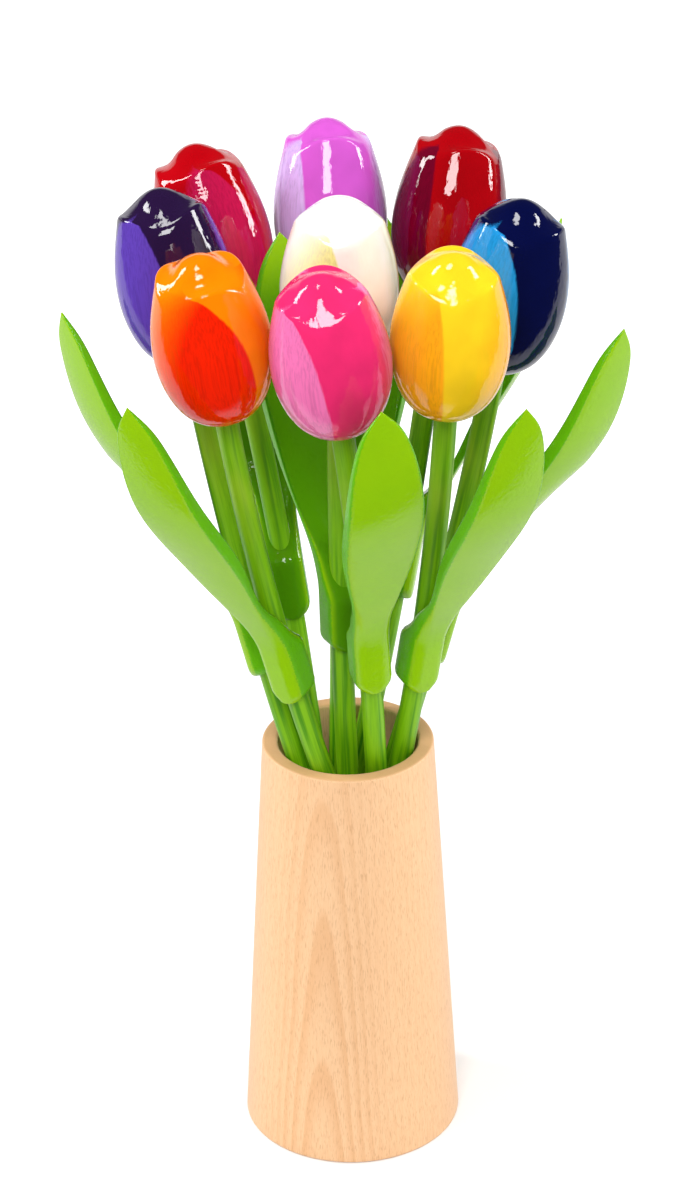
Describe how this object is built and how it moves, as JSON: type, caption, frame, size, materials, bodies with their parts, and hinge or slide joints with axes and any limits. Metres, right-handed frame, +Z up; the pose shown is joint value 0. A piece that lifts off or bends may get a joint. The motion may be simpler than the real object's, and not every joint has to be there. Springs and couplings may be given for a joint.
{
  "type": "bunch of wooden tulips in a vase",
  "caption": "Bunch of painted and lacquered wooden tulips with bent stems and carved leaves, standing loose in a turned conical beech vase; each tulip lifts out.",
  "frame": {"origin": "middle of the vase's underside", "axes": "+Z up along the vase's axis; -Y is the side that the bunch faces; +X to the right seen from there"},
  "size_m": [0.2204, 0.198, 0.4291],
  "materials": {
    "beech": "bare turned beech, finely sanded",
    "stem_green": "green stain and satin lacquer",
    "leaf_green": "green paint, thick gloss lacquer",
    "lacquer_purple": "painted in two or three tones under thick gloss lacquer",
    "lacquer_red": "painted in two or three tones under thick gloss lacquer",
    "lacquer_lilac": "painted in two or three tones under thick gloss lacquer",
    "lacquer_white": "painted in two or three tones under thick gloss lacquer",
    "lacquer_dark_red": "painted in two or three tones under thick gloss lacquer",
    "lacquer_blue": "painted in two or three tones under thick gloss lacquer",
    "lacquer_orange": "painted in two or three tones under thick gloss lacquer",
    "lacquer_pink": "painted in two or three tones under thick gloss lacquer",
    "lacquer_yellow": "painted in two or three tones under thick gloss lacquer"
  },
  "bodies": {
    "vase": {"vase": "beech"},
    "purple_tulip": {"purple_head": "lacquer_purple", "purple_stem": "stem_green", "purple_leaf": "leaf_green"},
    "red_tulip": {"red_head": "lacquer_red", "red_stem": "stem_green", "red_leaf": "leaf_green"},
    "lilac_tulip": {"lilac_head": "lacquer_lilac", "lilac_stem": "stem_green", "lilac_leaf": "leaf_green"},
    "white_tulip": {"white_head": "lacquer_white", "white_stem": "stem_green", "white_leaf": "leaf_green"},
    "dark_red_tulip": {"dark_red_head": "lacquer_dark_red", "dark_red_stem": "stem_green", "dark_red_leaf": "leaf_green"},
    "blue_tulip": {"blue_head": "lacquer_blue", "blue_stem": "stem_green", "blue_leaf": "leaf_green"},
    "orange_tulip": {"orange_head": "lacquer_orange", "orange_stem": "stem_green", "orange_leaf": "leaf_green"},
    "pink_tulip": {"pink_head": "lacquer_pink", "pink_stem": "stem_green", "pink_leaf": "leaf_green"},
    "yellow_tulip": {"yellow_head": "lacquer_yellow", "yellow_stem": "stem_green", "yellow_leaf": "leaf_green"}
  },
  "joints": [
    {"name": "purple_lift", "type": "slide", "parent": "vase", "child": "purple_tulip", "axis": [-0.2945, 0.0529, 0.9542], "range_m": [0, 0.11]},
    {"name": "red_lift", "type": "slide", "parent": "vase", "child": "red_tulip", "axis": [-0.1351, 0.2001, 0.9704], "range_m": [0, 0.11]},
    {"name": "lilac_lift", "type": "slide", "parent": "vase", "child": "lilac_tulip", "axis": [-0.02, 0.1855, 0.9824], "range_m": [0, 0.11]},
    {"name": "white_lift", "type": "slide", "parent": "vase", "child": "white_tulip", "axis": [-0.0427, -0.0247, 0.9988], "range_m": [0, 0.11]},
    {"name": "dark_red_lift", "type": "slide", "parent": "vase", "child": "dark_red_tulip", "axis": [0.2267, 0.1299, 0.9653], "range_m": [0, 0.11]},
    {"name": "blue_lift", "type": "slide", "parent": "vase", "child": "blue_tulip", "axis": [0.2783, -0.1262, 0.9522], "range_m": [0, 0.11]},
    {"name": "orange_lift", "type": "slide", "parent": "vase", "child": "orange_tulip", "axis": [-0.2967, -0.1233, 0.947], "range_m": [0, 0.11]},
    {"name": "pink_lift", "type": "slide", "parent": "vase", "child": "pink_tulip", "axis": [-0.0059, -0.2224, 0.9749], "range_m": [0, 0.11]},
    {"name": "yellow_lift", "type": "slide", "parent": "vase", "child": "yellow_tulip", "axis": [0.1727, -0.2187, 0.9604], "range_m": [0, 0.11]}
  ]
}
